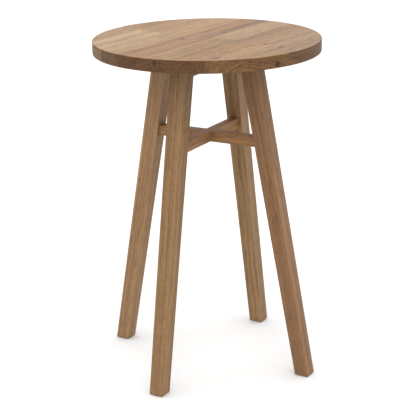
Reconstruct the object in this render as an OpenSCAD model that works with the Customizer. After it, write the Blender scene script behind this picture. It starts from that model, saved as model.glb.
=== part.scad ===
// Round bar table in solid oak.
// A round top, glued up from short staves, lies on two upright frames that cross at right angles.
// Each frame is two splayed legs, a bearer under the top and a stretcher further down.
// The origin is on the floor, under the middle of the top, and +Z is up.

/* [Top] */
// Height of the table, from the floor to the top face
table_h = 1050; // [840:10:1260]
// Diameter of the round top
top_d = 700; // [600:10:900]
// Thickness of the top
top_t = 38; // [30:1:46]
// Bevel round the upper and the lower edge of the rim
rim_ease = 2; // [1:0.5:5]
// Width of the rows of staves; the front and back rows fill what is left of the circle
stave_w = 90; // [70:1:94]
// Distance of the middle joint between rows behind the middle of the table
row_shift = -10; // [-10:1:10]
// Turn of the staves from the left-to-right frame, in degrees
grain_turn = -5; // [-45:1:45]
// Length of the fingers that join the left and right staves of a row end to end
finger_l = 10; // [6:1:16]
// Number of those fingers, one above another
finger_count = 3; // [2:1:4]

/* [Legs] */
// Width of each square leg where it meets the top
leg_top_w = 54; // [42:1:62]
// Width of each square leg at its foot
leg_foot_w = 46; // [36:1:56]
// Distance from the middle of the table to a leg's centre line, just under the top
leg_top_r = 148; // [140:1:180]
// Distance from the middle of the table to a leg's centre line, on the floor
leg_foot_r = 335; // [270:1:410]
// Radius on the four long edges of each leg
leg_ease = 2; // [1:0.5:5]

/* [Bearers] */
// Width of the two bearers that cross under the top
bearer_w = 32; // [28:1:38]
// Depth of the bearers, downwards from the top
bearer_d = 58; // [48:1:72]

/* [Stretchers] */
// Distance from the underside of the top down to the stretchers
stretcher_drop = 252; // [120:1:400]
// Width of the two stretchers that cross between the legs
stretcher_w = 32; // [24:1:38]
// Depth of the stretchers
stretcher_d = 32; // [26:1:42]

/* [Dowels] */
// Diameter of the dowels that hold the bearers
bearer_dowel_d = 10; // [8:1:12]
// Length of the dowels that hold the bearers, half of it in each piece
bearer_dowel_l = 50; // [36:1:54]
// Diameter of the dowels that hold the stretchers
stretcher_dowel_d = 8; // [6:1:10]
// Length of the dowels that hold the stretchers, half of it in each piece
stretcher_dowel_l = 40; // [30:1:50]

/* [Screws] */
// Diameter of the screws that hold the top down
screw_d = 5; // [4:0.5:6]
// Diameter of the screw heads
head_d = 10; // [8:0.5:11]
// Height of the screw heads
head_h = 3; // [2:0.5:4]
// Width across the flats of the hexagon socket in the screw heads
socket_af = 3; // [2:0.5:4]
// Depth of that socket
socket_deep = 1.5; // [1:0.5:1.5]
// How far the screws go into the top
screw_bite = 25; // [15:1:27]
// Wood left between a screw's pocket and the top
screw_web = 26; // [16:1:36]
// Distance of the screws from the centre line of their bearer, clockwise seen from above
screw_side = 6; // [0:0.5:6]
// Wood kept between a screw's pocket and the lap or the dowels
pocket_wall = 12; // [6:1:12]
// Diameter of the washers under the screw heads
washer_d = 12; // [11.5:0.5:13]
// Thickness of the washers
washer_t = 1.2; // [0.8:0.1:2]
// Length that the slots add to the screw holes, so that the top can swell and shrink
slot_run = 6; // [2:1:8]

/* [Glides] */
// Diameter of the plastic glides under the feet
glide_d = 24; // [16:1:30]
// Thickness of the glides
glide_t = 3; // [2.5:0.5:6]
// Diameter of the nails that hold the glides
nail_d = 2.5; // [1.5:0.1:3.5]
// Length of those nails, with the head
nail_l = 20; // [12:1:30]
// Diameter of the nail heads
nail_head_d = 7; // [5:0.5:9]
// Thickness of the nail heads
nail_head_t = 0.8; // [0.5:0.1:1]

/* [Fits] */
// Gap all round a dowel, a nail or a screw's thread in its hole
fit_gap = 0.1; // [0.05:0.05:0.2]
// Gap between the cheeks of a half-lap joint and the other bar
lap_gap = 0.15; // [0.05:0.05:0.3]
// Gap all round a screw's plain shank, and round a washer in its pocket
slack = 0.4; // [0.2:0.1:0.5]
// Space past each end of a dowel
dowel_relief = 1; // [0.5:0.5:2]

/* [Hidden] */
under_z = table_h - top_t;
stretcher_z = under_z - stretcher_drop;
row_count = 8;
// Place of each row's end joint along the staves, from the front row to the back row
end_joints = [-45, 8, -28, 16, -44, -62, 0, 25];
pocket_z = under_z - screw_web;
pocket_w = washer_d + 2 * slack;
pocket_reach = (pocket_w + slot_run) / 2 + pocket_wall;
nail_head_z = 1;
glide_bevel = 0.5;
// Thickness of the thin slices that a leg is stretched between
slice_t = 0.1;
// Overshoot that lets a cut pass clear through a face
over = 1;
frame_turns = [0, 180];
all_turns = [0, 90, 180, 270];
left_tones = [
    "#B89068", "#BE9670", "#B58B66", "#B48B66",
    "#B28763", "#C9A47C", "#D2B08C", "#B9916C"
];
right_tones = [
    "#B28C6A", "#BC9672", "#B18A66", "#CBA683",
    "#AC8260", "#C6A078", "#B78F6A", "#B58E68"
];

// Share of the way from the floor to the underside of the top
function rise(z) = z / under_z;
// Distance of a leg's centre line from the middle of the table at height z
function leg_r(z) = leg_foot_r + (leg_top_r - leg_foot_r) * rise(z);
// Width of a leg's level section at height z
function leg_w(z) = leg_foot_w + (leg_top_w - leg_foot_w) * rise(z);
// Distance of a leg's inner face from the middle of the table at height z
function inner_r(z) = leg_r(z) - leg_w(z) / 2;
// Place of the joint behind a row, across the staves
function joint_y(row) = row_shift + (row - row_count / 2) * stave_w;
// Front and back edges of a row; the outer two rows run out past the rim
function row_front(row) = row == 1 ? -top_d : joint_y(row - 1);
function row_back(row) = row == row_count ? top_d : joint_y(row);
// Step i of the zigzag between the left and right staves of a row, along and up
function finger_point(row, i) = [
    end_joints[row - 1] - (i % 2) * finger_l,
    top_t * i / (2 * finger_count)
];

// Distances of the two screws of one arm of a bearer from the middle of the table
screw_in = bearer_w / 2 + pocket_reach;
screw_out = inner_r(under_z) - bearer_dowel_l / 2 - pocket_reach;

// Whole round top, before it is divided into staves
module top_disc() {
    top_r = top_d / 2;
    bevel_r = top_r - rim_ease;
    bevel_z = top_t - rim_ease;
    outline = [[0, 0], [bevel_r, 0], [top_r, rim_ease], [top_r, bevel_z], [bevel_r, top_t], [0, top_t]];
    translate([0, 0, under_z])
        rotate_extrude($fn = 180)
            polygon(outline);
}

// Puts its children at both screw places of every arm, turned along the arm
module at_screws(turns) {
    for (turn = turns, r = [screw_in, screw_out])
        rotate([0, 0, turn])
            translate([r, -screw_side, 0])
                children();
}

// Space on one side of a row's end joint: side is -1 on the left and 1 on the right
module stave_space(row, side) {
    joint = end_joints[row - 1];
    far = side * top_d;
    zigzag = [for (i = [0:2 * finger_count]) finger_point(row, i)];
    outline = concat(
        [[far, -over], [joint, -over]],
        zigzag,
        [[joint, top_t + over], [far, top_t + over]]
    );
    rotate([0, 0, grain_turn])
        translate([0, row_back(row), under_z])
            rotate([90, 0, 0])
                linear_extrude(height = row_back(row) - row_front(row))
                    polygon(outline);
}

// Stave of the top, with the pilot holes that fall in it; rows are counted from the front
module top_stave(row, side, tone) {
    color(tone)
        difference() {
            intersection() {
                top_disc();
                stave_space(row, side);
            }
            at_screws(all_turns)
                translate([0, 0, under_z - over])
                    cylinder(d = screw_d + 2 * fit_gap, h = over + screw_bite + fit_gap, $fn = 32);
        }
}

module stave_left(row) {
    top_stave(row, -1, left_tones[row - 1]);
}

module stave_right(row) {
    top_stave(row, 1, right_tones[row - 1]);
}

// Thin level slice of the leg on the +X side at height z, with eased corners
module leg_slice(z) {
    corner = leg_w(z) / 2 - leg_ease;
    translate([leg_r(z), 0, z])
        for (x = [-corner, corner], y = [-corner, corner])
            translate([x, y, 0])
                cylinder(r = leg_ease, h = slice_t, $fn = 32);
}

// Two dowels along X, one above the other, across the +X end of a bar.
// grow widens them and relief lengthens them, to cut their holes.
module end_dowels(top_z, deep, d, l, grow = 0, relief = 0) {
    for (z = [top_z - deep / 4, top_z - deep * 3 / 4])
        translate([inner_r(z), 0, z])
            rotate([0, 90, 0])
                cylinder(d = d + 2 * grow, h = l + 2 * relief, center = true, $fn = 32);
}

module bearer_end_holes() {
    end_dowels(under_z, bearer_d, bearer_dowel_d, bearer_dowel_l, fit_gap, dowel_relief);
}

module stretcher_end_holes() {
    end_dowels(stretcher_z, stretcher_d, stretcher_dowel_d, stretcher_dowel_l, fit_gap, dowel_relief);
}

// Nail under a foot; grow widens it, to cut its hole
module nail_shank(grow = 0) {
    translate([leg_r(glide_t), 0, nail_head_z])
        cylinder(d = nail_d + 2 * grow, h = nail_l + grow, $fn = 24);
}

// Splayed leg, turned from the +X side
module leg(turn) {
    color("#9B7753")
        rotate([0, 0, turn])
            difference() {
                hull() {
                    leg_slice(glide_t);
                    leg_slice(under_z - slice_t);
                }
                bearer_end_holes();
                stretcher_end_holes();
                nail_shank(fit_gap);
            }
}

// Bar along X between two legs, with its ends cut to the legs' lean
module bar(top_z, wide, deep) {
    low_z = top_z - deep;
    outline = [
        [-inner_r(low_z), low_z], [inner_r(low_z), low_z],
        [inner_r(top_z), top_z], [-inner_r(top_z), top_z]
    ];
    rotate([90, 0, 0])
        linear_extrude(height = wide, center = true)
            polygon(outline);
}

// Room for the crossing bar in one half of a bar's depth, starting at height low_z
module lap_cut(low_z, wide, deep) {
    cut_w = wide + 2 * lap_gap;
    translate([-cut_w / 2, -wide, low_z])
        cube([cut_w, 2 * wide, deep / 2 + over]);
}

// Upright hole, drawn out along X into a slot with round ends
module slot(wide, h) {
    for (x = [-slot_run / 2, slot_run / 2])
        translate([x, 0, 0])
            cylinder(d = wide, h = h, $fn = 32);
    translate([-slot_run / 2, -wide / 2, 0])
        cube([slot_run, wide, h]);
}

// Way for one screw: a pocket for its head from below, and a slot up through the wood above
module screw_way() {
    pocket_foot = under_z - bearer_d - over;
    translate([0, 0, pocket_foot])
        slot(pocket_w, pocket_z - pocket_foot);
    translate([0, 0, pocket_foot])
        slot(screw_d + 2 * slack, under_z + over - pocket_foot);
}

// Bearer along X; its lap is cut from below or from above
module bearer(lap_low_z) {
    color("#8A6847")
        difference() {
            bar(under_z, bearer_w, bearer_d);
            lap_cut(lap_low_z, bearer_w, bearer_d);
            at_screws(frame_turns)
                screw_way();
            for (turn = frame_turns)
                rotate([0, 0, turn])
                    bearer_end_holes();
        }
}

// Stretcher along X; its lap is cut from below or from above
module stretcher(lap_low_z) {
    color("#94704C")
        difference() {
            bar(stretcher_z, stretcher_w, stretcher_d);
            lap_cut(lap_low_z, stretcher_w, stretcher_d);
            for (turn = frame_turns)
                rotate([0, 0, turn])
                    stretcher_end_holes();
        }
}

module bearer_left_right() {
    bearer(under_z - bearer_d - over);
}

module bearer_front_back() {
    rotate([0, 0, 90])
        bearer(under_z - bearer_d / 2);
}

module stretcher_left_right() {
    stretcher(stretcher_z - stretcher_d - over);
}

module stretcher_front_back() {
    rotate([0, 0, 90])
        stretcher(stretcher_z - stretcher_d / 2);
}

module bearer_dowels() {
    color("#C9A77C")
        for (turn = all_turns)
            rotate([0, 0, turn])
                end_dowels(under_z, bearer_d, bearer_dowel_d, bearer_dowel_l);
}

module stretcher_dowels() {
    color("#C9A77C")
        for (turn = all_turns)
            rotate([0, 0, turn])
                end_dowels(stretcher_z, stretcher_d, stretcher_dowel_d, stretcher_dowel_l);
}

// One screw, head down, with a hexagon socket in the head
module top_screw() {
    head_z = pocket_z - washer_t - head_h;
    difference() {
        union() {
            translate([0, 0, head_z])
                cylinder(d = head_d, h = head_h, $fn = 32);
            translate([0, 0, head_z])
                cylinder(d = screw_d, h = under_z + screw_bite - head_z, $fn = 32);
        }
        translate([0, 0, head_z - over])
            cylinder(r = socket_af / sqrt(3), h = over + socket_deep, $fn = 6);
    }
}

module top_screws() {
    color("silver")
        at_screws(all_turns)
            top_screw();
}

module screw_washers() {
    color("gainsboro")
        at_screws(all_turns)
            translate([0, 0, pocket_z - washer_t])
                difference() {
                    cylinder(d = washer_d, h = washer_t, $fn = 48);
                    translate([0, 0, -over])
                        cylinder(d = screw_d + 2 * slack, h = washer_t + 2 * over, $fn = 32);
                }
}

// Round glide with a bevelled lower edge and a sunk seat for the nail's head
module foot_glide() {
    difference() {
        union() {
            cylinder(d1 = glide_d - 2 * glide_bevel, d2 = glide_d, h = glide_bevel, $fn = 48);
            translate([0, 0, glide_bevel])
                cylinder(d = glide_d, h = glide_t - glide_bevel, $fn = 48);
        }
        translate([0, 0, -over])
            cylinder(d = nail_head_d + 2 * fit_gap, h = over + nail_head_z + nail_head_t, $fn = 32);
        translate([0, 0, -over])
            cylinder(d = nail_d + 2 * fit_gap, h = glide_t + 2 * over, $fn = 24);
    }
}

module foot_glides() {
    color("#5B5148")
        for (turn = all_turns)
            rotate([0, 0, turn])
                translate([leg_r(glide_t), 0, 0])
                    foot_glide();
}

module glide_nails() {
    color("silver")
        for (turn = all_turns)
            rotate([0, 0, turn]) {
                nail_shank();
                translate([leg_r(glide_t), 0, nail_head_z])
                    cylinder(d = nail_head_d, h = nail_head_t, $fn = 32);
            }
}

stave_left(1);  // top_stave_1_left
stave_left(2);  // top_stave_2_left
stave_left(3);  // top_stave_3_left
stave_left(4);  // top_stave_4_left
stave_left(5);  // top_stave_5_left
stave_left(6);  // top_stave_6_left
stave_left(7);  // top_stave_7_left
stave_left(8);  // top_stave_8_left
stave_right(1);  // top_stave_1_right
stave_right(2);  // top_stave_2_right
stave_right(3);  // top_stave_3_right
stave_right(4);  // top_stave_4_right
stave_right(5);  // top_stave_5_right
stave_right(6);  // top_stave_6_right
stave_right(7);  // top_stave_7_right
stave_right(8);  // top_stave_8_right
leg(180);  // leg_left
leg(0);  // leg_right
leg(270);  // leg_front
leg(90);  // leg_back
bearer_left_right();
bearer_front_back();
stretcher_left_right();
stretcher_front_back();
bearer_dowels();
stretcher_dowels();
top_screws();
screw_washers();
foot_glides();
glide_nails();
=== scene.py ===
"""Tall round oak table: the looks of its pieces, laid out as a Blender add-on and run as a script."""
import math

import bpy
import numpy as np
from bpy.props import FloatProperty, FloatVectorProperty, IntProperty, PointerProperty
from bpy.types import Operator, Panel, PropertyGroup
from mathutils import Matrix, Vector


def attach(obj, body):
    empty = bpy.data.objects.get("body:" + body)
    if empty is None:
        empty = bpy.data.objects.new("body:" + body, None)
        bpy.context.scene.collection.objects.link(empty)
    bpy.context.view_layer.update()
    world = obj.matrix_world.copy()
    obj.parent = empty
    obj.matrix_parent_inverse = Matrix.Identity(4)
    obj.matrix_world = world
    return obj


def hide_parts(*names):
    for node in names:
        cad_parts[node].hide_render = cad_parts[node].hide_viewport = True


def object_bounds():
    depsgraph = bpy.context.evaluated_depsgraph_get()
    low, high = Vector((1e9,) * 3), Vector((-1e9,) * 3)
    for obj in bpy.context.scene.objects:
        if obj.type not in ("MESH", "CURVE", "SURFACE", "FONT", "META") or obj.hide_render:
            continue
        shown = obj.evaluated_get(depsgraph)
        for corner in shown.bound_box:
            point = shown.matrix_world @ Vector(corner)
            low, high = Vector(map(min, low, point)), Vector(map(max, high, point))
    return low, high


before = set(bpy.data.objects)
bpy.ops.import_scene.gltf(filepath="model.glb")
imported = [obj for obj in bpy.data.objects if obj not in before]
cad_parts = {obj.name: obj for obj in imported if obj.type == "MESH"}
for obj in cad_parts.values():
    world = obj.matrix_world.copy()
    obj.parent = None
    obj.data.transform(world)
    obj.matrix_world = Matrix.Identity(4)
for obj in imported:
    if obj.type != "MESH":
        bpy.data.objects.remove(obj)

bl_info = {
    "name": "Round Oak Table",
    "version": (1, 0, 0),
    "blender": (4, 5, 0),
    "location": "View3D > Sidebar > Oak Table",
    "description": "Makes a tall round oak table on four splayed legs around its CAD frame",
    "category": "Object",
}

CAD_BOX = [list(corner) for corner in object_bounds()]
MM = 0.001
# Corners closer than this, in metres, share a place
SAME_PLACE = 1e-6
# Faces that meet at more than this angle keep a sharp edge between them
SHARP_ANGLE = math.radians(32)
# Where the flat of an eased square has its last points, as a share of the way to its corners
FLAT_END = 0.97
ROWS = range(1, 9)
SIDES = {"left": -1, "right": 1}
# Turn of the staves from the line of the left and right legs
GRAIN_TURN = math.radians(-5)
LEG_TURNS = {"leg_right": 0, "leg_back": 90, "leg_left": 180, "leg_front": 270}

# Colour of each stave's timber, from the front row to the back row
STAVE_COLOURS = {
    "left": ["#6F502B", "#785A35", "#73512A", "#71522D", "#724F29", "#7C6040", "#897150", "#785D3B"],
    "right": ["#6F5335", "#725737", "#6E4F2D", "#795F3F", "#694827", "#795C38", "#795A36", "#71512B"],
}
# Colour of each leg, partly its timber's own tone and partly painted shade: the front leg's colour is
# darkened to offset the light that the front softbox throws on it
LEG_COLOURS_AND_SHADE = {"leg_right": "#7A5E3E", "leg_back": "#836545", "leg_left": "#755939", "leg_front": "#715236"}
RAIL_COLOUR = "#805D3B"
# What the heart of a knot keeps of the timber's red, green and blue
KNOT_TINT = (0.40, 0.28, 0.26, 1.0)
# What the oil does to the colour of the turned edge
RIM_TINT = (1.12, 0.86, 0.62, 1.0)
# Clouds of darker or paler wood on the top, in the staves' own directions:
# along and across from the middle, half length and half width in mm, and how much the tone changes
CLOUDS = [
    (-190, 64, 165, 11, -0.17),
    (-48, 57, 12, 10, -0.31),
    (215, 9, 115, 12, -0.31),
    (100, 1, 14, 9, -0.29),
    (336, 16, 16, 26, -0.34),
    (10, -6, 60, 4, -0.26),
    (130, -114, 160, 13, -0.21),
    (-8, -115, 20, 15, -0.18),
    (-245, -199, 20, 9, -0.39),
    (-180, -152, 60, 22, -0.10),
    (60, 232, 55, 6, -0.17),
    (40, 203, 50, 5, -0.17),
    (62, -266, 50, 8, -0.12),
    (-22, -279, 30, 8, -0.26),
    (-30, 214, 45, 26, 0.09),
    (200, -60, 120, 20, 0.08),
    (-120, -204, 110, 8, 0.09),
    (-62, -346, 26, 12, -0.18),
]
# Knots in the top: along and across from the middle, height below the face and radius, in mm
KNOTS = [
    (2, -209, 0, 10),
    (-14, -273, 0, 10),
    (-48, 58, 0, 7),
    (101, 1, 0, 7),
    (-244, -202, 2, 9),
    (-346, -55, 12, 8),
    (-123, -328, 26, 9),
]
# Rays that lie in the face and show as pale ripples: along and across from the middle, half length and
# half width, in mm
RIPPLES = (85, -80, 75, 17)
# What is left of the timber's brightness on the turned edge of each stave, after the oil
EDGE_SHARES = {
    "left": [0.60, 0.53, 0.38, 0.37, 0.38, 0.35, 0.43, 0.50],
    "right": [0.46, 0.46, 0.44, 0.46, 0.44, 0.44, 0.44, 0.46],
}
# Where the heart of the tree lay: across from the stave's middle, and above its upper face, in mm
HEARTS = {
    "left": [(38, -70), (-50, -60), (44, -46), (-10, -130), (30, 70), (12, -90), (-26, -150), (40, -80)],
    "right": [(-30, -95), (34, 60), (-50, -75), (-90, -12), (10, -76), (-25, -110), (70, -55), (-12, 80)],
}
# Where the heart of the tree lay beside each leg, outwards and across, beside each stretcher, across and
# upwards, and from the bearers, along, across and upwards, in metres
LEG_PITHS = ((0.052, 0.021), (-0.047, 0.044), (0.030, -0.058), (-0.061, -0.026))
RAIL_PITHS = ((0.035, 0.012), (-0.028, 0.030))
BEARER_PITH = (60.0, 0.03, -0.94)
# Distance along the tree from one piece to the next, and where the legs' and the stretchers' wood starts, in
# metres, so that no two pieces have the same grain
LOG_STEP, LEG_LOG, RAIL_LOG = 3.7, 70, 90
# Room at each side of the stretchers' half-lap, and rings of points along each of its arms
LAP_GAP = 0.15 * MM
ARM_RINGS = 24
# Camera: place in metres, then heading, tilt down and roll in degrees, and lens in mm
CAMERA_PLACE = (-3.5803, -2.0138, 1.8163)
CAMERA_TURN = (-60.567, 17.711, -0.982)
CAMERA_LENS = 117.56
# Softbox: where it stands and what it faces, in metres
LAMP_PLACE, LAMP_AIM = (-2.7, -1.5, 3.1), (0, 0, 0.6)


# ---------------------------------------------------------------- shapes


def node_points(node):
    """Corners of a CAD node's mesh, in metres."""
    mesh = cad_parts[node].data
    points = np.empty(len(mesh.vertices) * 3, np.float32)
    mesh.vertices.foreach_get("co", points)
    return points.reshape(-1, 3).astype(float)


def turned(points, angle):
    """Points turned about the upright axis by an angle: x' = x cos - y sin, y' = x sin + y cos."""
    c, s = math.cos(angle), math.sin(angle)
    x, y, z = points[..., 0], points[..., 1], points[..., 2]
    return np.stack([c * x - s * y, s * x + c * y, z], -1)


def soft_step(value, low, high):
    """0 below low, 1 above high, and 3t^2 - 2t^3 between them."""
    t = np.clip((value - low) / (high - low), 0, 1)
    return t * t * (3 - 2 * t)


def welded(points, quads):
    """Merges points that share a place, and turns each quad that this makes thinner into a triangle."""
    keys = np.round(points / SAME_PLACE).astype(np.int64)
    _, first, place = np.unique(keys, axis=0, return_index=True, return_inverse=True)
    quads = place.reshape(-1)[quads]
    same = quads == np.roll(quads, -1, axis=1)
    whole = quads[same.sum(1) == 0]
    thin = quads[same.sum(1) == 1]
    gone = same[same.sum(1) == 1].argmax(1)
    keep = (gone[:, None] + np.array([1, 2, 3])) % 4
    return points[first], whole, np.take_along_axis(thin, keep, 1)


def outward(points, quads, tris):
    """Turns every face over if the volume that the faces enclose, summed as triangles, is negative."""
    a, b, c = (points[np.vstack([quads[:, :3], quads[:, [0, 2, 3]], tris])[:, i]] for i in range(3))
    if np.einsum("ij,ij->i", a, np.cross(b, c)).sum() < 0:
        return quads[:, ::-1], tris[:, ::-1]
    return quads, tris


def box_skin(counts, place):
    """Closed skin of a lattice of counts[0] x counts[1] x counts[2] cells.
    Each of its six sides is a grid of two parameters, and lattice corner (i, j, k) goes to place(i, j, k)."""
    size = np.array(counts) + 1
    grid = np.indices(size)
    skin = ((grid == 0) | (grid == np.array(counts).reshape(3, 1, 1, 1))).any(0)
    number = np.full(size, -1)
    number[skin] = np.arange(skin.sum())
    quads = []
    for axis in range(3):
        for end in (0, -1):
            side = np.take(number, end, axis)
            if (axis == 1) != (end == 0):
                side = side.T
            quads.append(
                np.stack([side[:-1, :-1], side[1:, :-1], side[1:, 1:], side[:-1, 1:]], -1).reshape(-1, 4)
            )
    i, j, k = grid[:, skin]
    return place(i, j, k), np.vstack(quads)


def carried(rings):
    """Closed skin of a profile carried along a path: rings is stations x points x 3.
    Each end is closed by a fan of faces from its last ring to the middle of that ring."""
    stations, count = rings.shape[:2]
    number = np.arange(stations * count).reshape(stations, count)
    after = np.roll(number, -1, axis=1)
    quads = np.stack([number[:-1], after[:-1], after[1:], number[1:]], -1).reshape(-1, 4)
    points = np.vstack([rings.reshape(-1, 3), rings[0].mean(0), rings[-1].mean(0)])
    low = np.stack([after[0], number[0], np.full(count, stations * count)], -1)
    high = np.stack([number[-1], after[-1], np.full(count, stations * count + 1)], -1)
    return points, quads, np.vstack([low, high])


def eased_square(flat_cells, arc_cells):
    """Outline of a square with eased corners, as two arrays of unit steps: from the middle to the corner
    circles' centres (or along a flat), and from there outwards. Angle and place along run evenly."""
    arc = np.linspace(0, math.pi / 2, arc_cells + 1)
    run = np.linspace(1, -1, flat_cells + 1)[1:-1]
    run = np.concatenate([[FLAT_END], run, [-FLAT_END]])
    quarter_step = np.vstack([np.ones((arc_cells + 1, 2)), np.stack([run, np.ones_like(run)], -1)])
    quarter_out = np.vstack([np.stack([np.cos(arc), np.sin(arc)], -1), np.tile([0.0, 1.0], (len(run), 1))])
    quarter_turn = np.array([[0, 1], [-1, 0]])
    steps, outs = [quarter_step], [quarter_out]
    for _ in range(3):
        steps.append(steps[-1] @ quarter_turn)
        outs.append(outs[-1] @ quarter_turn)
    return np.vstack(steps), np.vstack(outs)


def make_piece(name, points, quads, tris, nodes, material, marks):
    """Puts arrays into a mesh object, gives it its attributes and material, and ties it to its CAD nodes."""
    quads, tris = outward(points, quads, tris)
    mesh = bpy.data.meshes.new(name)
    mesh.from_pydata(points.tolist(), [], quads.tolist() + tris.tolist())
    for mark, values in marks.items():
        kind = {1: "FLOAT", 3: "FLOAT_VECTOR"}[1 if values.ndim == 1 else values.shape[1]]
        layer = mesh.attributes.new(mark, kind, "POINT")
        layer.data.foreach_set("value" if kind == "FLOAT" else "vector", values.astype(np.float32).ravel())
    mesh.shade_smooth()
    mesh.set_sharp_from_angle(angle=SHARP_ANGLE)
    if mesh.validate():
        raise RuntimeError(f"{name} has a face that does not hold")
    mesh.materials.append(material)
    piece = bpy.data.objects.new(name, mesh)
    bpy.context.scene.collection.objects.link(piece)
    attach(piece, "root")
    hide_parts(*nodes)
    return piece


# ---------------------------------------------------------------- materials


def linear(colour):
    """sRGB hex colour as linear red, green, blue and full alpha."""
    parts = [int(colour[i : i + 2], 16) / 255 for i in (1, 3, 5)]
    return (*[p / 12.92 if p <= 0.04045 else ((p + 0.055) / 1.055) ** 2.4 for p in parts], 1.0)


def add(tree, kind, settings=None, links=None):
    """Adds a node with its settings, and gives each named or numbered input a value or another node's
    output."""
    node = tree.nodes.new(kind)
    for name, value in (settings or {}).items():
        setattr(node, name, value)
    for key, value in (links or {}).items():
        socket = node.inputs[key]
        if isinstance(value, bpy.types.Node):
            value = value.outputs[0]
        if isinstance(value, bpy.types.NodeSocket):
            tree.links.new(value, socket)
        else:
            socket.default_value = value
    return node


def new_material(name):
    """Empty node material with its output node."""
    material = bpy.data.materials.new(name)
    material.use_nodes = True
    material.node_tree.nodes.clear()
    return material, material.node_tree, add(material.node_tree, "ShaderNodeOutputMaterial")


def oiled_oak(name, colour, log, ring_width, ray_share, grain_contrast, roughness):
    """White oak, planed, sanded and hard-wax oiled. log builds the place in the tree: x along the grain,
    and y and z across it from the pith. The eye gets growth rings as long streaks and arcs, dark pore lines
    in the early wood, pale rays across the rings, and a dull sheen."""
    material, tree, out = new_material(name)
    place = log(tree)
    # Rings wander by up to 9 mm, over about 300 mm along the grain and 60 mm across it
    wander = add(tree, "ShaderNodeVectorMath", {"operation": "MULTIPLY"}, {0: place, 1: (3.2, 16, 16)})
    wander = add(tree, "ShaderNodeTexNoise", {}, {"Vector": wander, "Scale": 1.0, "Detail": 2.0})
    wander = add(
        tree, "ShaderNodeVectorMath", {"operation": "SUBTRACT"}, {0: wander.outputs["Color"], 1: (0.5,) * 3}
    )
    wander = add(tree, "ShaderNodeVectorMath", {"operation": "MULTIPLY"}, {0: wander, 1: (0, 0.018, 0.018)})
    bent = add(tree, "ShaderNodeVectorMath", {"operation": "ADD"}, {0: place, 1: wander})
    parts = add(tree, "ShaderNodeSeparateXYZ", {}, {0: bent})
    across = add(tree, "ShaderNodeCombineXYZ", {}, {1: parts.outputs[1], 2: parts.outputs[2]})
    radius = add(tree, "ShaderNodeVectorMath", {"operation": "LENGTH"}, {0: across}).outputs["Value"]
    angle = add(tree, "ShaderNodeMath", {"operation": "ARCTAN2"}, {0: parts.outputs[2], 1: parts.outputs[1]})
    # Rings are 2 to 4 mm wide in the real timber and are drawn two or three times as wide, so that they show
    rings = add(tree, "ShaderNodeMath", {"operation": "DIVIDE"}, {0: radius, 1: ring_width})
    uneven = add(
        tree, "ShaderNodeTexNoise", {"noise_dimensions": "1D"}, {"W": rings, "Scale": 0.35, "Detail": 1.0}
    )
    uneven = add(tree, "ShaderNodeMath", {"operation": "MULTIPLY_ADD"}, {0: uneven, 1: 3.0, 2: rings})
    ring = add(tree, "ShaderNodeMath", {"operation": "FRACT"}, {0: uneven})
    ramp = add(tree, "ShaderNodeValToRGB", {}, {0: ring})
    stops = [(0.0, 0.55), (0.14, 0.0), (0.42, 0.62), (0.8, 1.0), (1.0, 0.55)]
    for _ in stops[2:]:
        ramp.color_ramp.elements.new(0.5)
    for element, (at, grey) in zip(ramp.color_ramp.elements, stops):
        element.position, element.color = at, (grey, grey, grey, 1)
    # Groups of wide and narrow rings, as bands 15 to 30 mm across
    band = add(
        tree, "ShaderNodeTexNoise", {"noise_dimensions": "1D"}, {"W": radius, "Scale": 55.0, "Detail": 2.0}
    )
    # Streaks of mineral and heart colour, 8 to 15 mm wide and up to a metre long
    streak = add(tree, "ShaderNodeVectorMath", {"operation": "MULTIPLY"}, {0: bent, 1: (1.6, 95, 95)})
    streak = add(
        tree, "ShaderNodeTexNoise", {}, {"Vector": streak, "Scale": 1.0, "Detail": 3.0, "Roughness": 0.6}
    )
    # Vessel lines are 0.3 mm wide in the real timber and are drawn 1.5 mm wide and 30 mm long
    vessel = add(tree, "ShaderNodeVectorMath", {"operation": "MULTIPLY"}, {0: place, 1: (30, 640, 640)})
    vessel = add(tree, "ShaderNodeTexNoise", {}, {"Vector": vessel, "Scale": 1.0, "Detail": 2.0})
    vessel = add(
        tree,
        "ShaderNodeMapRange",
        {"interpolation_type": "SMOOTHSTEP"},
        {0: vessel, 1: 0.52, 2: 0.68, 3: 1.0, 4: 0.0},
    )
    # Rays run straight out from the pith. They are drawn about 4 mm apart at 100 mm from it, 13 mm long and
    # 45 mm deep
    ray = add(tree, "ShaderNodeCombineXYZ", {}, {0: parts.outputs[0], 1: angle, 2: radius})
    ray = add(tree, "ShaderNodeVectorMath", {"operation": "MULTIPLY"}, {0: ray, 1: (75, 26, 22)})
    ray = add(tree, "ShaderNodeTexNoise", {}, {"Vector": ray, "Scale": 1.0, "Detail": 1.0})
    ray = add(
        tree,
        "ShaderNodeMapRange",
        {"interpolation_type": "SMOOTHSTEP"},
        {0: ray, 1: 0.56, 2: 0.72, 3: 0.0, 4: ray_share},
    )
    # Share of pale late wood at each place, from all of these
    grain = add(tree, "ShaderNodeMath", {"operation": "MULTIPLY"}, {0: ramp, 1: 0.36})
    grain = add(tree, "ShaderNodeMath", {"operation": "MULTIPLY_ADD"}, {0: band, 1: 0.55, 2: grain})
    grain = add(tree, "ShaderNodeMath", {"operation": "MULTIPLY_ADD"}, {0: streak, 1: 1.0, 2: grain})
    grain = add(tree, "ShaderNodeMath", {"operation": "MULTIPLY_ADD"}, {0: vessel, 1: 0.38, 2: grain})
    grain = add(tree, "ShaderNodeMath", {"operation": "ADD"}, {0: grain, 1: ray})
    timber, strength, dullness = colour(tree)
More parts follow.
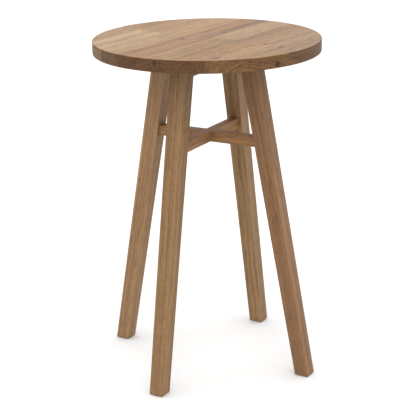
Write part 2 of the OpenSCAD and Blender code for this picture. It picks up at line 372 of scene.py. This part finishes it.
    # The sum lies around 1.28; what it has more or less of that turns the timber's colour paler or darker
    grain = add(tree, "ShaderNodeMath", {"operation": "SUBTRACT"}, {0: grain, 1: 1.28})
    grain = add(tree, "ShaderNodeMath", {"operation": "MULTIPLY"}, {0: grain, 1: grain_contrast})
    grain = add(tree, "ShaderNodeMath", {"operation": "MULTIPLY_ADD"}, {0: grain, 1: strength, 2: 0.5})
    early, late = (0.62, 0.53, 0.43, 1), (1.38, 1.40, 1.40, 1)
    tint = add(tree, "ShaderNodeMix", {"data_type": "RGBA"}, {0: grain, 6: early, 7: late})
    shade = add(
        tree,
        "ShaderNodeMix",
        {"data_type": "RGBA", "blend_type": "MULTIPLY"},
        {0: 1.0, 6: timber, 7: tint.outputs["Result"]},
    )
    # Pores sink by about a tenth of a millimetre
    dents = add(tree, "ShaderNodeMath", {"operation": "MULTIPLY_ADD"}, {0: ramp, 1: 0.4, 2: vessel})
    bump = add(tree, "ShaderNodeBump", {}, {"Strength": 0.35, "Distance": 0.00025, "Height": dents})
    gloss = add(tree, "ShaderNodeMapRange", {}, {0: vessel, 3: roughness + 0.12, 4: roughness})
    gloss = add(tree, "ShaderNodeMath", {"operation": "ADD"}, {0: gloss, 1: dullness})
    skin = add(
        tree,
        "ShaderNodeBsdfPrincipled",
        {},
        {
            "Base Color": shade.outputs["Result"],
            "Roughness": gloss,
            "IOR": 1.47,
            "Specular IOR Level": 0.35,
            "Normal": bump,
        },
    )
    tree.links.new(skin.outputs[0], out.inputs[0])
    return material


def marked_log(tree):
    """Place in the tree from the piece's own attribute."""
    return add(tree, "ShaderNodeAttribute", {"attribute_name": "log_place"}).outputs["Vector"]


def turned_log(angle, pith):
    """Place in the tree from object coordinates, turned about the upright axis and moved from the pith."""

    def build(tree):
        place = add(tree, "ShaderNodeTexCoord").outputs["Object"]
        return add(
            tree,
            "ShaderNodeMapping",
            {"vector_type": "POINT"},
            {"Vector": place, "Location": pith, "Rotation": (0, 0, -angle)},
        )

    return build


def ripples(tree, place, face_z):
    """Brightness of a patch of ripples: sine waves 7 mm apart that lean 30 degrees from the grain, bent by
    noise, fading out towards the patch's edge."""
    along, across, half_long, half_wide = (size * MM for size in RIPPLES)
    away = add(
        tree, "ShaderNodeVectorMath", {"operation": "SUBTRACT"}, {0: place, 1: (along, across, face_z)}
    )
    bend = add(tree, "ShaderNodeTexNoise", {}, {"Vector": place, "Scale": 45.0, "Detail": 1.0})
    lean = (math.sin(math.radians(30)), -math.cos(math.radians(30)), 0)
    phase = add(
        tree, "ShaderNodeVectorMath", {"operation": "DOT_PRODUCT"}, {0: away, 1: lean}
    ).outputs["Value"]
    phase = add(tree, "ShaderNodeMath", {"operation": "MULTIPLY"}, {0: phase, 1: math.tau / (7 * MM)})
    phase = add(tree, "ShaderNodeMath", {"operation": "MULTIPLY_ADD"}, {0: bend, 1: 9.0, 2: phase})
    wave = add(tree, "ShaderNodeMath", {"operation": "SINE"}, {0: phase})
    share = (1 / half_long, 1 / half_wide, 1 / (4 * MM))
    reach = add(tree, "ShaderNodeVectorMath", {"operation": "MULTIPLY"}, {0: away, 1: share})
    reach = add(tree, "ShaderNodeVectorMath", {"operation": "LENGTH"}, {0: reach}).outputs["Value"]
    fade = add(
        tree,
        "ShaderNodeMapRange",
        {"interpolation_type": "SMOOTHSTEP"},
        {0: reach, 1: 0.4, 2: 1.0, 3: 0.34, 4: 0.0},
    )
    return add(tree, "ShaderNodeMath", {"operation": "MULTIPLY_ADD"}, {0: wave, 1: fade, 2: 1.0})


def stave_colour(tree):
    """Each stave's own timber colour, with its clouds and knots, darkened where the turned edge drinks
    oil."""
    tone = add(tree, "ShaderNodeAttribute", {"attribute_name": "timber_tone_and_shade"}).outputs["Color"]
    cloud = add(tree, "ShaderNodeAttribute", {"attribute_name": "cloud"}).outputs["Fac"]
    place = add(tree, "ShaderNodeTexCoord")
    edge = add(tree, "ShaderNodeAttribute", {"attribute_name": "rim"}).outputs["Fac"]
    kept = add(tree, "ShaderNodeMath", {"operation": "SUBTRACT"}, {0: 1.0, 1: edge})
    kept = add(tree, "ShaderNodeMath", {"operation": "MULTIPLY"}, {0: kept, 1: cloud})
    grain_frame = add(
        tree,
        "ShaderNodeMapping",
        {"vector_type": "POINT"},
        {"Vector": place.outputs["Object"], "Rotation": (0, 0, -GRAIN_TURN)},
    )
    top_z = CAD_BOX[1][2]
    knot = None
    for along, across, below, radius in KNOTS:
        away = add(
            tree,
            "ShaderNodeVectorMath",
            {"operation": "SUBTRACT"},
            {0: grain_frame, 1: (along * MM, across * MM, top_z - below * MM)},
        )
        away = add(tree, "ShaderNodeVectorMath", {"operation": "MULTIPLY"}, {0: away, 1: (0.85, 1.15, 1.0)})
        away = add(tree, "ShaderNodeVectorMath", {"operation": "LENGTH"}, {0: away}).outputs["Value"]
        core = add(
            tree,
            "ShaderNodeMapRange",
            {"interpolation_type": "SMOOTHSTEP"},
            {0: away, 1: radius * MM * 0.4, 2: radius * MM * 1.4, 3: 1.0, 4: 0.0},
        )
        knot = core if knot is None else add(
            tree, "ShaderNodeMath", {"operation": "MAXIMUM"}, {0: knot, 1: core}
        )
    kept = add(
        tree, "ShaderNodeMath", {"operation": "MULTIPLY"}, {0: kept, 1: ripples(tree, grain_frame, top_z)}
    )
    shade = add(tree, "ShaderNodeVectorMath", {"operation": "SCALE"}, {0: tone, "Scale": kept}).outputs[0]
    dark = add(tree, "ShaderNodeMix", {"data_type": "RGBA"}, {0: knot, 6: (1, 1, 1, 1), 7: KNOT_TINT})
    shade = add(
        tree, "ShaderNodeVectorMath", {"operation": "MULTIPLY"}, {0: shade, 1: dark.outputs["Result"]}
    )
    # The oil also turns the edge redder, and its cut rings stand out more
    warm = add(tree, "ShaderNodeMix", {"data_type": "RGBA"}, {0: edge, 6: (1, 1, 1, 1), 7: RIM_TINT})
    shade = add(
        tree, "ShaderNodeVectorMath", {"operation": "MULTIPLY"}, {0: shade, 1: warm.outputs["Result"]}
    )
    strength = add(tree, "ShaderNodeMath", {"operation": "MULTIPLY_ADD"}, {0: edge, 1: 0.5, 2: 1.0})
    return shade.outputs[0], strength.outputs[0], add(
        tree, "ShaderNodeMath", {"operation": "MULTIPLY"}, {0: edge, 1: 0.2}
    )


def leg_colour_and_shade(tree):
    """Each leg's colour from its attribute: partly its timber's own tone, partly painted shade on the front
    leg.
    """
    return add(tree, "ShaderNodeAttribute", {"attribute_name": "timber_tone_and_shade"}).outputs["Color"], 1.0, 0.0


def rail_colour(tree):
    """The rails' timber colour, drifting between redder and greener over a hand's width."""
    place = add(tree, "ShaderNodeTexCoord").outputs["Object"]
    drift = add(tree, "ShaderNodeTexNoise", {}, {"Vector": place, "Scale": 8.0, "Detail": 1.0})
    base = np.array((*bpy.context.scene.oak_table.rail_colour, 1.0))
    red, green = base * (1.06, 0.98, 0.96, 1), base * (0.96, 1.01, 1.0, 1)
    return add(
        tree, "ShaderNodeMix", {"data_type": "RGBA"}, {0: drift, 6: tuple(red), 7: tuple(green)}
    ).outputs["Result"], 1.0, 0.0


# ---------------------------------------------------------------- settings


class TopSettings(PropertyGroup):
    rim_ease: FloatProperty(
        name="Rim easing",
        description="Radius of the rounding on the rim's edges",
        default=2 * MM,
        min=0.5 * MM,
        unit="LENGTH",
    )
    joint_ease: FloatProperty(
        name="Joint easing",
        description="Width of the easing at the staves' glue joints",
        default=0.2 * MM,
        min=0,
        unit="LENGTH",
    )
    finger: FloatProperty(
        name="Finger length",
        description="Length of the fingers between end-joined staves",
        default=10 * MM,
        unit="LENGTH",
    )
    roughness: FloatProperty(
        name="Sheen", description="Roughness of the oiled face", default=0.5, min=0.1, max=1, subtype="FACTOR"
    )


class LegSettings(PropertyGroup):
    ease: FloatProperty(
        name="Edge easing",
        description="Radius of the legs' long edges",
        default=2 * MM,
        min=0.5 * MM,
        unit="LENGTH",
    )
    rail_ease: FloatProperty(
        name="Rail easing",
        description="Radius of the rails' long edges",
        default=1.5 * MM,
        min=0.5 * MM,
        unit="LENGTH",
    )
    bearer_ease: FloatProperty(
        name="Bearer easing",
        description="Width of the bearers' eased edges",
        default=1 * MM,
        min=0.2 * MM,
        unit="LENGTH",
    )
    stations: IntProperty(name="Stations", description="Rings of points along a leg", default=60, min=4)


class StageSettings(PropertyGroup):
    floor_size: FloatProperty(name="Floor", description="Side of the floor", default=40, min=5, unit="LENGTH")
    front_power: FloatProperty(
        name="Front softbox", description="Power of the front softbox", default=28, min=0, unit="POWER"
    )
    wall_light: FloatProperty(
        name="Walls", description="Strength of the white room at eye height", default=1.01, min=0
    )
    ceiling_light: FloatProperty(
        name="Ceiling", description="Strength of the white room overhead", default=2.0, min=0
    )


class TableSettings(PropertyGroup):
    top: PointerProperty(type=TopSettings)
    legs: PointerProperty(type=LegSettings)
    stage: PointerProperty(type=StageSettings)
    # The legs' colours under this tint hold painted shade on the front leg as well as their timber's tone
    leg_tint: FloatVectorProperty(
        name="Leg tint",
        description="Tint over the legs' own timber colours",
        subtype="COLOR",
        default=(1.0, 1.0, 1.0),
    )
    rail_colour: FloatVectorProperty(
        name="Rail timber",
        description="Colour of the rails' timber",
        subtype="COLOR",
        default=linear(RAIL_COLOUR)[:3],
    )


# ---------------------------------------------------------------- pieces


def stave(row, side_name, settings, material):
    """One stave: a box lattice bent to its place. Across, y is rho sin t with t even between the row's two
    joints. Along, x runs evenly from the end joint's zigzag to rho cos t. Upwards, the last levels of rho
    follow a quarter circle, which eases the rim."""
    node = f"top_stave_{row}_{side_name}"
    side = SIDES[side_name]
    local = turned(node_points(node), -GRAIN_TURN)
    low_z, high_z = local[:, 2].min(), local[:, 2].max()
    disc = max(
        np.hypot(*node_points(f"top_stave_{r}_{s}")[:, :2].T).max() for r in (1, 5) for s in SIDES
    )
    joint = local[:, 0].max() if side < 0 else local[:, 0].min() + settings.finger
    front = local[:, 1].min() if row > 1 else -disc
    back = local[:, 1].max() if row < 8 else disc
    ease, gap = settings.rim_ease, settings.joint_ease
    thick = high_z - low_z
    turn = np.linspace(0, math.pi / 2, 5)
    fingers = thick * np.arange(1, 6) / 6
    between = (fingers[:-1] + fingers[1:]) / 2
    middle = np.concatenate([fingers, between, [ease * 1.5, thick - ease * 1.5]])
    height = np.concatenate([ease * (1 - np.cos(turn)), np.sort(middle), thick - ease + ease * np.sin(turn)])
    inset = np.concatenate([ease * (1 - np.sin(turn)), np.zeros(len(middle)), ease * (1 - np.cos(turn))])
    nick = np.zeros(len(height))
    nick[[0, -1]] = gap
    zigzag = np.interp(height, thick * np.arange(7) / 6, settings.finger * (np.arange(7) % 2))
    long_row = row in (1, 8)
    counts = (88, 64 if long_row else 26, len(height) - 1)

    def place(i, j, k):
        rho = disc - inset[k]
        end = joint - zigzag[k] + side * nick[k]
        inner = np.where(end * side > 0, np.abs(end), 0.0)
        reach = np.sqrt(rho**2 - inner**2)
        low = np.arcsin(np.clip(np.maximum(front + nick[k], -reach) / rho, -1, 1))
        high = np.arcsin(np.clip(np.minimum(back - nick[k], reach) / rho, -1, 1))
        t = low + (high - low) * j / counts[1]
        y, rim = rho * np.sin(t), rho * np.cos(t) * side
        start = np.where(np.abs(end) > np.abs(rim), np.sign(end) * np.abs(rim), end)
        x = start + (rim - start) * i / counts[0]
        return np.stack([x, y, low_z + height[k]], -1)

    points, quads = box_skin(counts, place)
    points, quads, tris = welded(points, quads)
    number = row * 2 + (side > 0)
    heart_y, heart_z = (offset * MM for offset in HEARTS[side_name][row - 1])
    heart_y += (max(front, -disc) + min(back, disc)) / 2
    log = np.stack(
        [points[:, 0] + LOG_STEP * number, points[:, 1] - heart_y, points[:, 2] - high_z - heart_z], -1
    )
    tone = np.ones(len(points))
    for along, across, half_long, half_wide, change in CLOUDS:
        inside = front <= across * MM <= back
        if not inside or (along * MM - joint) * side < 0:
            continue
        away_along = ((points[:, 0] / MM - along) / half_long) ** 4
        away_across = ((points[:, 1] / MM - across) / half_wide) ** 4
        tone += change * np.exp(-(away_along + away_across))
    rim_share = soft_step(np.hypot(points[:, 0], points[:, 1]), disc - 1.9 * MM, disc - 0.5 * MM)
    rim_share *= 1 - EDGE_SHARES[side_name][row - 1]
    colour = np.tile(linear(STAVE_COLOURS[side_name][row - 1])[:3], (len(points), 1))
    marks = {"log_place": log, "timber_tone_and_shade": colour, "cloud": tone, "rim": rim_share}
    return make_piece(
        f"oak_{node}", turned(points, GRAIN_TURN), quads, tris, [node], material, marks
    )


def leg(node, settings, tint, material, number):
    """One leg: an eased square carried up the leg's lean. Ring k is
    middle(z) + step (half - ease) + out ease."""
    angle = math.radians(LEG_TURNS[node])
    local = turned(node_points(node), -angle)
    low_z, high_z = local[:, 2].min(), local[:, 2].max()
    foot, head = (local[np.abs(local[:, 2] - z) < 0.2 * MM] for z in (low_z, high_z))
    foot_half, head_half = (np.ptp(ring[:, 1]) / 2 for ring in (foot, head))
    foot_r, head_r = ((ring[:, 0].min() + ring[:, 0].max()) / 2 for ring in (foot, head))
    step, out = eased_square(6, 5)
    turn = np.linspace(0, math.pi / 2, 4)
    nip = MM
    heights = np.concatenate(
        [low_z + nip * (1 - np.cos(turn)), np.linspace(low_z + 6 * MM, high_z, settings.stations)]
    )
    insets = np.concatenate([nip * (1 - np.sin(turn)), np.zeros(settings.stations)])
    share = ((heights - low_z) / (high_z - low_z))[:, None]
    half = foot_half + (head_half - foot_half) * share
    middle = foot_r + (head_r - foot_r) * share
    ease = settings.ease
    x = middle + step[:, 0] * (half - ease) + out[:, 0] * (ease - insets[:, None])
    y = step[:, 1] * (half - ease) + out[:, 1] * (ease - insets[:, None])
    rings = np.stack([x, y, np.broadcast_to(heights[:, None], x.shape)], -1)
    points, quads, tris = carried(rings)
    lean = (head_r - foot_r) / (high_z - low_z)
    pith = LEG_PITHS[number]
    along = points[:, 2] * math.hypot(1, lean)
    outwards = points[:, 0] - foot_r - (points[:, 2] - low_z) * lean
    log = np.stack([along + LOG_STEP * number + LEG_LOG, outwards - pith[0], points[:, 1] - pith[1]], -1)
    # Painted shade: the front leg's colour is darker here, to offset the front softbox's light on it; the
    # rest is each leg's timber tone
    colour = np.tile(np.array(linear(LEG_COLOURS_AND_SHADE[node])[:3]) * tint, (len(points), 1))
    marks = {"log_place": log, "timber_tone_and_shade": colour}
    return make_piece(f"oak_{node}", turned(points, angle), quads, tris, [node], material, marks)


def rail(node, settings, material, number, along_y, lap_below):
    """One stretcher: an eased oblong carried between the legs. Its ends keep the legs' lean, because x is the
    station's share of the half length at that height. At the lap, the oblong is half as deep."""
    angle = math.pi / 2 if along_y else 0
    local = turned(node_points(node), -angle)
    low_z, high_z = local[:, 2].min(), local[:, 2].max()
    half_wide = np.ptp(local[:, 1]) / 2
    low_half, high_half = (local[np.abs(local[:, 2] - z) < 0.2 * MM][:, 0].max() for z in (low_z, high_z))
    lap = half_wide + LAP_GAP
    step, out = eased_square(5, 5)
    arm = np.linspace(lap, low_half, ARM_RINGS)
    stations = np.concatenate([-arm[::-1], [-lap], [lap], arm])
    full = np.concatenate([np.ones(ARM_RINGS), [0, 0], np.ones(ARM_RINGS)])[:, None]
    mid_z = (low_z + high_z) / 2
    bottom = np.where(full > 0, low_z, mid_z if lap_below else low_z)
    top = np.where(full > 0, high_z, high_z if lap_below else mid_z)
    ease = settings.rail_ease
    y = step[:, 0] * (half_wide - ease) + out[:, 0] * ease + 0 * full
    z = (bottom + top) / 2 + step[:, 1] * ((top - bottom) / 2 - ease) + out[:, 1] * ease
    half_long = low_half + (high_half - low_half) * (z - low_z) / (high_z - low_z)
    near_lap = np.abs(stations[:, None]) <= lap + 1e-9
    x = np.where(near_lap, stations[:, None], stations[:, None] / low_half * half_long)
    rings = np.stack([x, y, z], -1)
    points, quads, tris = carried(rings)
    pith = RAIL_PITHS[number]
    log = np.stack(
        [points[:, 0] + RAIL_LOG + LOG_STEP * number, points[:, 1] - pith[0], points[:, 2] - mid_z - pith[1]],
        -1,
    )
    marks = {"log_place": log}
    return make_piece(f"oak_{node}", turned(points, angle), quads, tris, [node], material, marks)


def bearer(node, settings, material):
    """One bearer: the CAD node's corners with the ones that share a place merged, then its flat faces made
    whole and each of its edges sharper than 40 degrees rounded, which the CAD shape leaves sharp."""
    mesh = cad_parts[node].data
    corners = np.empty(len(mesh.loops), np.int32)
    mesh.loops.foreach_get("vertex_index", corners)
    points = node_points(node)
    keys = np.round(points / SAME_PLACE).astype(np.int64)
    _, first, place = np.unique(keys, axis=0, return_index=True, return_inverse=True)
    tris = place.reshape(-1)[corners.reshape(-1, 3)]
    piece = make_piece(
        f"oak_{node}", points[first], np.empty((0, 4), int), tris, [node], material, {}
    )
    flat = piece.modifiers.new("whole_faces", "DECIMATE")
    flat.decimate_type, flat.angle_limit = "DISSOLVE", math.radians(1)
    ease = piece.modifiers.new("eased_arrises", "BEVEL")
    ease.width, ease.segments = settings.bearer_ease, 2
    ease.limit_method, ease.angle_limit = "ANGLE", math.radians(40)
    return piece


# ---------------------------------------------------------------- operators


class OAKTABLE_OT_top(Operator):
    """Make the sixteen staves of the round top"""

    bl_idname = "oaktable.top"
    bl_label = "Staves"

    def execute(self, context):
        settings = context.scene.oak_table.top
        oak = {"ring_width": 8 * MM, "ray_share": 0.28, "grain_contrast": 1.6}
        material = oiled_oak(
            "oiled_white_oak_top", stave_colour, marked_log, **oak, roughness=settings.roughness
        )
        for row in ROWS:
            for side_name in SIDES:
                stave(row, side_name, settings, material)
        return {"FINISHED"}


class OAKTABLE_OT_legs(Operator):
    """Make the four splayed legs"""

    bl_idname = "oaktable.legs"
    bl_label = "Legs"

    def execute(self, context):
        settings = context.scene.oak_table
        oak = {"ring_width": 6 * MM, "ray_share": 0.08, "grain_contrast": 1.5, "roughness": 0.55}
        material = oiled_oak("oiled_white_oak_legs", leg_colour_and_shade, marked_log, **oak)
        for number, node in enumerate(LEG_TURNS):
            leg(node, settings.legs, settings.leg_tint, material, number)
        return {"FINISHED"}


class OAKTABLE_OT_rails(Operator):
    """Make the crossed stretchers and bearers"""

    bl_idname = "oaktable.rails"
    bl_label = "Stretchers and bearers"

    def execute(self, context):
        settings = context.scene.oak_table
        oak = {"ring_width": 6 * MM, "ray_share": 0.1, "grain_contrast": 1.3, "roughness": 0.6}
        material = oiled_oak("oiled_white_oak_stretchers", rail_colour, marked_log, **oak)
        rail("stretcher_left_right", settings.legs, material, 0, False, True)
        rail("stretcher_front_back", settings.legs, material, 1, True, False)
        for node, angle in (("bearer_left_right", 0), ("bearer_front_back", math.pi / 2)):
            along, across, up = BEARER_PITH
            log = turned_log(angle, (along + angle, across, up))
            bearer(node, settings.legs, oiled_oak(f"oiled_white_oak_{node}", rail_colour, log, **oak))
        return {"FINISHED"}


class OAKTABLE_OT_fixings(Operator):
    """Give the dowels, screws, washers, glides and nails their finishes"""

    bl_idname = "oaktable.fixings"
    bl_label = "Fixings and glides"

    def execute(self, context):
        beech, steel, nylon = turned_beech(), zinc_steel(), moulded_nylon()
        for node in ("bearer_dowels", "stretcher_dowels"):
            finish(node, beech)
        for node in ("top_screws", "screw_washers", "glide_nails"):
            finish(node, steel)
        finish("foot_glides", nylon)
        return {"FINISHED"}


class OAKTABLE_OT_stage(Operator):
    """Make the pale floor, the soft light and the camera"""

    bl_idname = "oaktable.stage"
    bl_label = "Stage"

    def execute(self, context):
        settings = context.scene.oak_table.stage
        make_floor(settings.floor_size)
        make_light(settings)
        make_camera()
        return {"FINISHED"}


def finish(node, material):
    """Gives a kept CAD node its material."""
    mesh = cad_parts[node].data
    mesh.materials.clear()
    mesh.materials.append(material)


def turned_beech():
    """Steamed beech dowel rod, turned: short brown flecks on pinkish tan."""
    material, tree, out = new_material("turned_beech_dowel")
    place = add(tree, "ShaderNodeTexCoord").outputs["Object"]
    # Flecks are 0.5 mm wide and 3 mm long in the real timber and are drawn as grains 1 mm across
    fleck = add(tree, "ShaderNodeTexNoise", {}, {"Vector": place, "Scale": 900.0, "Detail": 2.0})
    fleck = add(tree, "ShaderNodeMapRange", {}, {0: fleck, 1: 0.35, 2: 0.65})
    tint = add(
        tree, "ShaderNodeMix", {"data_type": "RGBA"}, {0: fleck, 6: linear("#9C744F"), 7: linear("#C09A74")}
    )
    skin = add(tree, "ShaderNodeBsdfPrincipled", {}, {"Base Color": tint.outputs["Result"], "Roughness": 0.6})
    tree.links.new(skin.outputs[0], out.inputs[0])
    return material


def zinc_steel():
    """Bright zinc-plated steel, barrelled: a bluish grey metal with a cloudy sheen."""
    material, tree, out = new_material("zinc_plated_steel")
    place = add(tree, "ShaderNodeTexCoord").outputs["Object"]
    # Crystals of the plating are about 0.5 mm across and are drawn 2 mm across
    cloud = add(tree, "ShaderNodeTexNoise", {}, {"Vector": place, "Scale": 500.0, "Detail": 3.0})
    tint = add(
        tree, "ShaderNodeMix", {"data_type": "RGBA"}, {0: cloud, 6: linear("#A9AEB3"), 7: linear("#C9CBCB")}
    )
    dull = add(tree, "ShaderNodeMapRange", {}, {0: cloud, 1: 0.3, 2: 0.7, 3: 0.28, 4: 0.45})
    skin = add(
        tree,
        "ShaderNodeBsdfPrincipled",
        {},
        {"Base Color": tint.outputs["Result"], "Metallic": 1.0, "Roughness": dull},
    )
    tree.links.new(skin.outputs[0], out.inputs[0])
    return material


def moulded_nylon():
    """Black nylon, injection moulded with a fine spark texture: a dull, faintly grained plastic."""
    material, tree, out = new_material("moulded_black_nylon")
    place = add(tree, "ShaderNodeTexCoord").outputs["Object"]
    # The mould's texture is 0.2 mm fine and is drawn at 0.8 mm
    grit = add(tree, "ShaderNodeTexNoise", {}, {"Vector": place, "Scale": 1250.0, "Detail": 2.0})
    tint = add(
        tree, "ShaderNodeMix", {"data_type": "RGBA"}, {0: grit, 6: linear("#1E1D1C"), 7: linear("#33312F")}
    )
    bump = add(tree, "ShaderNodeBump", {}, {"Strength": 0.3, "Distance": 0.0001, "Height": grit})
    skin = add(
        tree,
        "ShaderNodeBsdfPrincipled",
        {},
        {"Base Color": tint.outputs["Result"], "Roughness": 0.55, "IOR": 1.53, "Normal": bump},
    )
    tree.links.new(skin.outputs[0], out.inputs[0])
    return material


def make_floor(side):
    """Flat square floor as a grid of 8 x 8 cells at the height of the feet, seen only from above."""
    run = np.linspace(-side / 2, side / 2, 9)
    x, y = np.meshgrid(run, run, indexing="ij")
    number = np.arange(81).reshape(9, 9)
    quads = np.stack([number[:-1, :-1], number[1:, :-1], number[1:, 1:], number[:-1, 1:]], -1).reshape(-1, 4)
    points = np.stack([x, y, np.full_like(x, CAD_BOX[0][2])], -1).reshape(-1, 3)
    mesh = bpy.data.meshes.new("studio_floor")
    mesh.from_pydata(points.tolist(), [], quads.tolist())
    material, tree, out = new_material("painted_studio_floor")
    place = add(tree, "ShaderNodeTexCoord").outputs["Object"]
    # Roller marks are about 40 mm across
    mark = add(tree, "ShaderNodeTexNoise", {}, {"Vector": place, "Scale": 25.0, "Detail": 2.0})
    tint = add(
        tree, "ShaderNodeMix", {"data_type": "RGBA"}, {0: mark, 6: linear("#CDCDCD"), 7: linear("#D1D1D1")}
    )
    paint = add(
        tree, "ShaderNodeBsdfPrincipled", {}, {"Base Color": tint.outputs["Result"], "Roughness": 0.9}
    )
    clear = add(tree, "ShaderNodeBsdfTransparent")
    below = add(tree, "ShaderNodeNewGeometry").outputs["Backfacing"]
    sheet = add(tree, "ShaderNodeMixShader", {}, {0: below, 1: paint, 2: clear})
    tree.links.new(sheet.outputs[0], out.inputs[0])
    mesh.materials.append(material)
    floor = bpy.data.objects.new("studio_floor", mesh)
    bpy.context.scene.collection.objects.link(floor)


def make_light(settings):
    """White room, twice as bright overhead as at eye height, and a softbox in front, forty degrees up."""
    scene = bpy.context.scene
    world = bpy.data.worlds.new("white_room")
    scene.world = world
    world.use_nodes = True
    world.node_tree.nodes.clear()
    up = add(world.node_tree, "ShaderNodeTexCoord")
    up = add(world.node_tree, "ShaderNodeSeparateXYZ", {}, {0: up.outputs["Generated"]})
    level = add(
        world.node_tree,
        "ShaderNodeMapRange",
        {"interpolation_type": "SMOOTHSTEP"},
        {0: up.outputs["Z"], 1: 0.2, 2: 0.5, 3: settings.wall_light, 4: settings.ceiling_light},
    )
    room = add(world.node_tree, "ShaderNodeBackground", {}, {"Color": linear("#FFFFFF"), "Strength": level})
    out = add(world.node_tree, "ShaderNodeOutputWorld")
    world.node_tree.links.new(room.outputs[0], out.inputs[0])
    lamp = bpy.data.lights.new("front_softbox", "AREA")
    lamp.shape, lamp.size, lamp.energy = "SQUARE", 2.0, settings.front_power
    lamp_object = bpy.data.objects.new("front_softbox", lamp)
    place = Vector(LAMP_PLACE)
    aim = Vector(LAMP_AIM) - place
    lamp_object.matrix_world = Matrix.Translation(place) @ aim.to_track_quat("-Z", "Y").to_matrix().to_4x4()
    scene.collection.objects.link(lamp_object)
    scene.view_settings.view_transform = "Standard"
    scene.view_settings.look = "None"


def make_camera():
    """Camera 1.8 m up and four metres from the table, tilted 18 degrees down and rolled by one degree."""
    data = bpy.data.cameras.new("camera")
    data.sensor_width, data.lens = 36, CAMERA_LENS
    camera = bpy.data.objects.new("camera", data)
    heading, pitch, roll = (math.radians(part) for part in CAMERA_TURN)
    turn = (
        Matrix.Rotation(heading, 4, "Z")
        @ Matrix.Rotation(math.pi / 2 - pitch, 4, "X")
        @ Matrix.Rotation(roll, 4, "Z")
    )
    camera.matrix_world = Matrix.Translation(CAMERA_PLACE) @ turn
    data.clip_start, data.clip_end = 0.1, 100
    bpy.context.scene.collection.objects.link(camera)
    bpy.context.scene.camera = camera


# ---------------------------------------------------------------- add-on


STEPS = (OAKTABLE_OT_top, OAKTABLE_OT_legs, OAKTABLE_OT_rails, OAKTABLE_OT_fixings, OAKTABLE_OT_stage)


class OAKTABLE_PT_panel(Panel):
    """Buttons that make the table, and its settings"""

    bl_idname = "OAKTABLE_PT_panel"
    bl_label = "Round Oak Table"
    bl_space_type = "VIEW_3D"
    bl_region_type = "UI"
    bl_category = "Oak Table"

    def draw(self, context):
        settings = context.scene.oak_table
        for step in STEPS:
            self.layout.operator(step.bl_idname)
        for group in (settings.top, settings.legs, settings.stage, settings):
            for name in group.__annotations__:
                if name not in ("top", "legs", "stage"):
                    self.layout.prop(group, name)


CLASSES = (TopSettings, LegSettings, StageSettings, TableSettings, *STEPS, OAKTABLE_PT_panel)


def register():
    for item in CLASSES:
        bpy.utils.register_class(item)
    bpy.types.Scene.oak_table = PointerProperty(type=TableSettings)


def unregister():
    del bpy.types.Scene.oak_table
    for item in reversed(CLASSES):
        bpy.utils.unregister_class(item)


def main():
    """Makes every piece."""
    register()
    bpy.ops.oaktable.top()
    bpy.ops.oaktable.legs()
    bpy.ops.oaktable.rails()
    bpy.ops.oaktable.fixings()
    bpy.ops.oaktable.stage()


if __name__ == "__main__":
    main()
